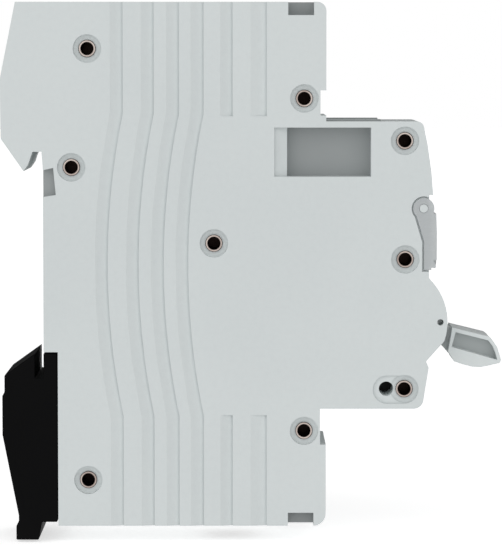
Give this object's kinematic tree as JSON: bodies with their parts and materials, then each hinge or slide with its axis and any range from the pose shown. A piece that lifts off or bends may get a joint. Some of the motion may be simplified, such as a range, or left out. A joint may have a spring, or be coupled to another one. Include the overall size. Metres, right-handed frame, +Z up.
{
  "type": "miniature circuit breaker",
  "caption": "Single-pole rail-mounted circuit breaker: riveted shells, rocking toggle, sprung rail clip, screw terminals, hinged label cover and a full trip mechanism.",
  "frame": {"origin": "middle of the DIN rail seat: front plane of the 35 mm rail, on the rail's centre line and the module's middle plane", "axes": "+X from the rail to the toggle, +Z up along the side view, +Y across the width of the module"},
  "size_m": [0.0781, 0.018, 0.0838],
  "materials": {
    "housing": "light grey moulded thermoset, fine satin texture",
    "rivet": "tubular rivet, copper plated, dulled",
    "toggle": "light grey moulded, semi-gloss",
    "steel": "drawn steel",
    "zinc_steel": "zinc plated sheet",
    "screw_steel": "zinc plated, machined",
    "black_plastic": "glass-filled moulding",
    "copper": "bare copper",
    "silver": "silver alloy contact",
    "brass": "machined brass",
    "bimetal": "rolled bimetal strip",
    "fibre": "pressed fibre board",
    "clip": "black moulded clip",
    "clear_cover": "clear flexible flap, slightly cloudy",
    "card": "blank printed card"
  },
  "bodies": {
    "housing": {"near_shell": "housing", "far_shell": "housing", "shell_rivets": "rivet", "toggle_pivot_pin": "steel", "carrier_pivot_pin": "steel", "trip_lever_pin": "steel", "trip_spring": "steel", "fixed_core": "steel", "din_clip_spring": "steel", "magnet_yoke": "zinc_steel", "bimetal_bracket": "zinc_steel", "arc_chute_plates": "zinc_steel", "lower_arc_runner": "zinc_steel", "coil_bobbin": "black_plastic", "fixed_contact_rail": "copper", "coil_winding": "copper", "contact_braid": "copper", "terminal_braid": "copper", "upper_terminal_plate": "copper", "lower_terminal_plate": "copper", "fixed_contact_tip": "silver", "calibration_screw": "brass", "bimetal_strip": "bimetal", "arc_chute_sides": "fibre", "arc_vent_grille": "fibre", "label_card": "card"},
    "toggle": {"toggle": "toggle", "toggle_spring": "steel"},
    "link": {"link_wire": "steel"},
    "carrier": {"contact_carrier": "black_plastic", "contact_spring": "steel", "moving_contact_arm": "copper", "moving_contact_tip": "silver"},
    "plunger": {"plunger": "steel", "plunger_spring": "steel"},
    "trip": {"trip_lever": "black_plastic"},
    "upper_screw": {"upper_terminal_screw": "screw_steel"},
    "upper_clamp": {"upper_terminal_clamp": "brass"},
    "lower_screw": {"lower_terminal_screw": "screw_steel"},
    "lower_clamp": {"lower_terminal_clamp": "brass"},
    "clip": {"din_clip": "clip"},
    "cover": {"label_cover": "clear_cover"}
  },
  "joints": [
    {"name": "toggle_turn", "type": "hinge", "parent": "housing", "child": "toggle", "pos_m": [0.0535, 0, -0.0088], "axis": [0, -1, 0], "range_deg": [0, 50]},
    {"name": "link_turn", "type": "hinge", "parent": "toggle", "child": "link", "pos_m": [0.05582, 0, -0.00381], "axis": [0, -1, 0], "range_deg": [-50, 0]},
    {"name": "carrier_turn", "type": "hinge", "parent": "housing", "child": "carrier", "pos_m": [0.031, 0, -0.02], "axis": [0, -1, 0], "range_deg": [0, 17.8]},
    {"name": "plunger_slide", "type": "slide", "parent": "housing", "child": "plunger", "axis": [1, 0, 0], "range_m": [0, 0.0025], "stiffness_N_per_m": 100, "springref_m": -0.0005},
    {"name": "trip_lever_turn", "type": "hinge", "parent": "housing", "child": "trip", "pos_m": [0.0335, 0, 0.005], "axis": [0, -1, 0], "range_deg": [-18, 0]},
    {"name": "upper_screw_turn", "type": "hinge", "parent": "housing", "child": "upper_screw", "pos_m": [0.0335, 0, 0.032], "axis": [-1, 0, 0], "range_deg": [0, 1440]},
    {"name": "upper_clamp_slide", "type": "slide", "parent": "housing", "child": "upper_clamp", "axis": [1, 0, 0], "range_m": [0, 0.0032]},
    {"name": "lower_screw_turn", "type": "hinge", "parent": "housing", "child": "lower_screw", "pos_m": [0.0335, 0, -0.032], "axis": [-1, 0, 0], "range_deg": [0, 1440]},
    {"name": "lower_clamp_slide", "type": "slide", "parent": "housing", "child": "lower_clamp", "axis": [1, 0, 0], "range_m": [0, 0.0032]},
    {"name": "din_clip_slide", "type": "slide", "parent": "housing", "child": "clip", "axis": [0, 0, -1], "range_m": [0, 0.0045], "stiffness_N_per_m": 1500, "springref_m": -0.002, "deforming": ["din_clip_spring"]},
    {"name": "label_cover_swing", "type": "hinge", "parent": "housing", "child": "cover", "pos_m": [0.05905, 0, 0.0088], "axis": [0, -1, 0], "range_deg": [0, 75]}
  ],
  "couplings": [
    {"joint": "link_turn", "follows": "toggle_turn", "ratio": -1},
    {"joint": "carrier_turn", "follows": "toggle_turn", "ratio": 0.356},
    {"joint": "trip_lever_turn", "follows": "plunger_slide", "rad_per_m": -125},
    {"joint": "upper_screw_turn", "follows": "upper_clamp_slide", "rad_per_m": 7854},
    {"joint": "lower_screw_turn", "follows": "lower_clamp_slide", "rad_per_m": 7854}
  ]
}
